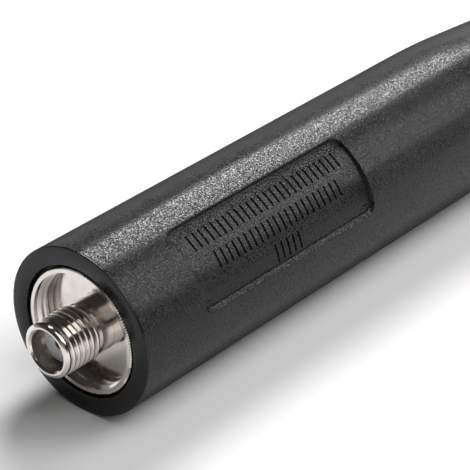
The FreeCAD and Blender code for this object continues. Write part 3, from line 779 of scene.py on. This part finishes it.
for node in ("capacitor_front", "capacitor_rear"):
    low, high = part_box(node)
    ceramic = principled("chip_ceramic_" + node)
    distance, along = axis_distance(ceramic)
    from_end = calculate(ceramic, "MINIMUM", calculate(ceramic, "SUBTRACT", along, low.x),
                         calculate(ceramic, "SUBTRACT", high.x, along))
    body = graded(ceramic, from_end, CHIP_END - CHIP_END_BLUR, CHIP_END + CHIP_END_BLUR)
    feed(ceramic, calculate(ceramic, "SUBTRACT", 1.0, body), shader_of(ceramic), "Metallic")
    two_tone(ceramic, body, CHIP_TIN, CHIP_TAN)
    raise_surface(ceramic, noise(ceramic, CHIP_GRAIN, detail=3.0), depth=0.000010)
    vary_roughness(ceramic, noise(ceramic, CHIP_GRAIN), low=0.34, high=0.50)
    dress(ceramic, node)

# Ground strap and feed lead: copper strip and wire, dipped in tin, with the soft ripples that
# solder leaves.
TIN_BRIGHT = (0.66, 0.64, 0.61, 1)
TIN_DULL = (0.52, 0.50, 0.47, 1)

tinned = principled("tinned_copper", Metallic=1.0)
raise_surface(tinned, noise(tinned, size=0.0009), depth=0.000040)
two_tone(tinned, noise(tinned, size=0.0015), TIN_BRIGHT, TIN_DULL)
vary_roughness(tinned, noise(tinned, size=0.0006), low=0.28, high=0.46)
dress(tinned, "ground_strap", "feed_lead")

# Ferrules, pin and rod: the ferrules are turned from plain brass. The pin that holds the lower
# one in the core tube's stem is ground from spring steel, and so is the whip's rod.
BRASS_BRIGHT = (0.72, 0.53, 0.25, 1)
BRASS_DULL = (0.55, 0.38, 0.17, 1)
STEEL_BRIGHT = (0.50, 0.50, 0.50, 1)
STEEL_DULL = (0.38, 0.37, 0.36, 1)

brass = principled("turned_brass", Metallic=1.0)
raise_surface(brass, lathe_marks(brass, spacing=0.00011), depth=0.000005)
two_tone(brass, noise(brass, size=0.0030), BRASS_BRIGHT, BRASS_DULL)
vary_roughness(brass, noise(brass, size=0.0009), low=0.24, high=0.40)
dress(brass, "lower_ferrule", "upper_ferrule")

steel = principled("spring_steel", Metallic=1.0)
drawn_lines = noise(steel, size=0.00012, detail=3.0, stretch=(0.05, 1, 1))
oil_film = noise(steel, size=0.0040, detail=3.0, stretch=(0.2, 1, 1))
raise_surface(steel, drawn_lines, depth=0.000003)
two_tone(steel, oil_film, STEEL_BRIGHT, STEEL_DULL)
vary_roughness(steel, noise(steel, size=0.0010), low=0.25, high=0.42)
dress(steel, "ferrule_pin", "radiator_rod")

# Folding neck: a strip-wound steel spring between the two ferrules, a braided lead inside it and a
# smooth rubber sleeve over it, which on the real antenna bend in two places. Each is made in two
# halves, split at the neck's middle.
NECK_SLEEVE = (0.117, 0.12605, 0.18595, 0.195)
NECK_RADIUS = 0.0047
NECK_GRIP = 0.0036
NECK_BORE = 0.00285
NECK_EDGE = 0.00035
NECK_ROW = 0.0010
NECK_MIDDLE = 0.156
LOWER_FOLD = (0.129, 0.153)
UPPER_FOLD = (0.159, 0.183)
SPRING_START = 0.1151
SPRING_RISE = 0.0738
SPRING_PITCH = 0.0098
SPRING_STRIP = 0.0080
SPRING_RADII = (0.00195, 0.00275)
SPRING_TURN_STEPS = 40
LEAD_RADIUS = 0.0009
LEAD_ENDS = (0.119, 0.193)
BRAID_SCALE = 1500.0
SLEEVE_BLACK = (0.011, 0.011, 0.0115, 1)
SLEEVE_WORN = (0.014, 0.0138, 0.0135, 1)
COPPER_SHADE = (0.30, 0.13, 0.07, 1)
COPPER_BRIGHT = (0.72, 0.40, 0.27, 1)


def rows(start, end, radius, count):
    """Evenly spaced corners along a plain stretch of a half section."""
    return [(start + (end - start) * row / count, radius) for row in range(count + 1)]


def spaced(start, end, radius):
    """Corners along a stretch of the neck, close enough for it to bend smoothly."""
    return rows(start, end, radius, max(1, round(abs(end - start) / NECK_ROW)))


def bending_halves(name, whole, material, node):
    """Splits a shape at the neck's middle into two halves, each closed at the cut and made a
    smooth object of its own.
    """
    halves = (("lower", 1, "base", "neck", LOWER_FOLD), ("upper", -1, "neck", "whip", UPPER_FOLD))
    for end, side, first_body, second_body, fold in halves:
        half = whole.copy()
        bmesh.ops.bisect_plane(half, geom=everything(half), dist=TOLERANCE, clear_outer=True,
                               plane_co=(NECK_MIDDLE, 0, 0), plane_no=(side, 0, 0))
        open_edges = [edge for edge in half.edges if edge.is_boundary]
        bmesh.ops.holes_fill(half, edges=open_edges, sides=0)
        piece = smooth_object(name + "_" + end, half, material)
        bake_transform(piece)
        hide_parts(node)
    whole.free()


sleeve_start, sleeve_front, sleeve_rear, sleeve_end = NECK_SLEEVE
sleeve = turned([
    *spaced(sleeve_start, sleeve_front, NECK_GRIP),
    (sleeve_front, NECK_RADIUS - NECK_EDGE),
    (sleeve_front + NECK_EDGE / 3, NECK_RADIUS - NECK_EDGE / 3),
    *spaced(sleeve_front + NECK_EDGE, sleeve_rear - NECK_EDGE, NECK_RADIUS),
    (sleeve_rear - NECK_EDGE / 3, NECK_RADIUS - NECK_EDGE / 3),
    (sleeve_rear, NECK_RADIUS - NECK_EDGE),
    *spaced(sleeve_rear, sleeve_end, NECK_GRIP),
    *spaced(sleeve_end, sleeve_start, NECK_BORE)], steps=96)
sleeve_rubber = principled("sleeve_rubber")
raise_surface(sleeve_rubber, noise(sleeve_rubber, size=0.00030, detail=3.0), depth=0.000010)
two_tone(sleeve_rubber, noise(sleeve_rubber, size=0.010), SLEEVE_BLACK, SLEEVE_WORN)
vary_roughness(sleeve_rubber, noise(sleeve_rubber, size=0.0025), low=0.34, high=0.46)
bending_halves("neck_sleeve", sleeve, sleeve_rubber, "neck_sleeve")

strip = bmesh.new()
strip_end = SPRING_START + SPRING_STRIP
corners = [strip.verts.new((place, 0, radius)) for place, radius in (
    (SPRING_START, SPRING_RADII[0]), (SPRING_START, SPRING_RADII[1]),
    (strip_end, SPRING_RADII[1]), (strip_end, SPRING_RADII[0]))]
section = strip.faces.new(corners)
spring_turns = SPRING_RISE / SPRING_PITCH
spring_steps = round(spring_turns * SPRING_TURN_STEPS)
bmesh.ops.spin(strip, geom=[section, *section.edges, *corners], cent=(0, 0, 0), axis=(1, 0, 0),
               dvec=(SPRING_RISE / spring_steps, 0, 0), angle=math.tau * spring_turns,
               steps=spring_steps, use_merge=False, use_duplicate=False)
bmesh.ops.recalc_face_normals(strip, faces=strip.faces)
bending_halves("neck_spring", strip, steel, "neck_spring")

lead = turned([(LEAD_ENDS[0], 0), *spaced(*LEAD_ENDS, LEAD_RADIUS), (LEAD_ENDS[1], 0)], steps=32)
braid = principled("braided_copper", Metallic=1.0)
strands = add(braid, "ShaderNodeTexWave", wave_type="BANDS", bands_direction="DIAGONAL")
feed(braid, object_place(braid), strands, "Vector")
feed(braid, BRAID_SCALE, strands, "Scale")
raise_surface(braid, strands.outputs["Fac"], depth=0.00006)
two_tone(braid, strands.outputs["Fac"], COPPER_SHADE, COPPER_BRIGHT)
vary_roughness(braid, noise(braid, size=0.0006), low=0.34, high=0.50)
bending_halves("neck_lead", lead, braid, "neck_lead")

# Whip: a rubber jacket extruded over the core and flared at its root, closed by a smooth moulded
# cap. The jacket carries faint lines along it from the die.
JACKET_BORE = 0.00365
JACKET_ROOT_RADIUS = 0.0049
JACKET_FLARE_END = 0.210
JACKET_RADIUS = 0.0040
FLARE_BLEND = 0.006
JACKET_ROWS_START = 0.220
JACKET_ROWS = 8
CAP_GRIP_RADIUS = 0.00345
CORE_RADIUS = 0.0022
FERRULE_REAR = 0.199
JACKET_EDGE = 0.0004
CAP_RADIUS = 0.0045
CAP_EDGE = 0.0004
CAP_NOSE = 0.0034
NOSE_STEPS = 16
ROD_RADIUS = 0.0010
JACKET_BLACK = (0.010, 0.010, 0.0105, 1)
JACKET_WORN = (0.013, 0.0128, 0.0125, 1)
CAP_BLACK = (0.011, 0.011, 0.0115, 1)
CAP_WORN = (0.015, 0.0148, 0.0145, 1)

jacket_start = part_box("whip_jacket")[0].x
cap_start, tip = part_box("tip_cap")[0].x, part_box("tip_cap")[1].x
grip_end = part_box("whip_jacket")[1].x
rod_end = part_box("radiator_rod")[1].x

jacket = turned([
    (jacket_start, JACKET_BORE), (jacket_start, JACKET_ROOT_RADIUS),
    (JACKET_FLARE_END, JACKET_RADIUS),
    *rows(JACKET_ROWS_START, cap_start, JACKET_RADIUS, JACKET_ROWS),
    (cap_start, CAP_GRIP_RADIUS), (grip_end, CAP_GRIP_RADIUS), (grip_end, CORE_RADIUS),
    (FERRULE_REAR, CORE_RADIUS), (FERRULE_REAR, JACKET_BORE)], steps=96)
round_edges(jacket, rings(jacket, (jacket_start, JACKET_ROOT_RADIUS)), JACKET_EDGE, segments=4)
round_edges(jacket, rings(jacket, (JACKET_FLARE_END, JACKET_RADIUS)), FLARE_BLEND, segments=6)
jacket_rubber = principled("jacket_rubber")
die_lines = noise(jacket_rubber, size=0.00035, detail=3.0, stretch=(0.03, 1, 1))
raise_surface(jacket_rubber, die_lines, depth=0.000012)
two_tone(jacket_rubber, noise(jacket_rubber, size=0.008), JACKET_BLACK, JACKET_WORN)
vary_roughness(jacket_rubber, noise(jacket_rubber, size=0.003), low=0.36, high=0.48)
whip_cover = smooth_object("whip_cover", jacket, jacket_rubber)
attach(whip_cover, "whip")
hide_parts("whip_jacket")

nose_turns = [math.pi / 2 * step / NOSE_STEPS for step in range(NOSE_STEPS + 1)]
nose = [(tip - CAP_NOSE + CAP_NOSE * math.sin(turn),
         CAP_RADIUS - CAP_NOSE + CAP_NOSE * math.cos(turn)) for turn in nose_turns]
cap = turned([
    (cap_start, CAP_GRIP_RADIUS), (cap_start, CAP_RADIUS), *nose, (tip, 0), (rod_end, 0),
    (rod_end, ROD_RADIUS), (grip_end, ROD_RADIUS), (grip_end, CAP_GRIP_RADIUS)], steps=96)
round_edges(cap, rings(cap, (cap_start, CAP_RADIUS)), CAP_EDGE, segments=4)
cap_plastic = principled("cap_plastic")
raise_surface(cap_plastic, noise(cap_plastic, size=0.00022, detail=3.0), depth=0.000012)
two_tone(cap_plastic, noise(cap_plastic, size=0.006), CAP_BLACK, CAP_WORN)
vary_roughness(cap_plastic, noise(cap_plastic, size=0.002), low=0.28, high=0.42)
end_cap = smooth_object("end_cap", cap, cap_plastic)
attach(end_cap, "whip")
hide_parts("tip_cap")
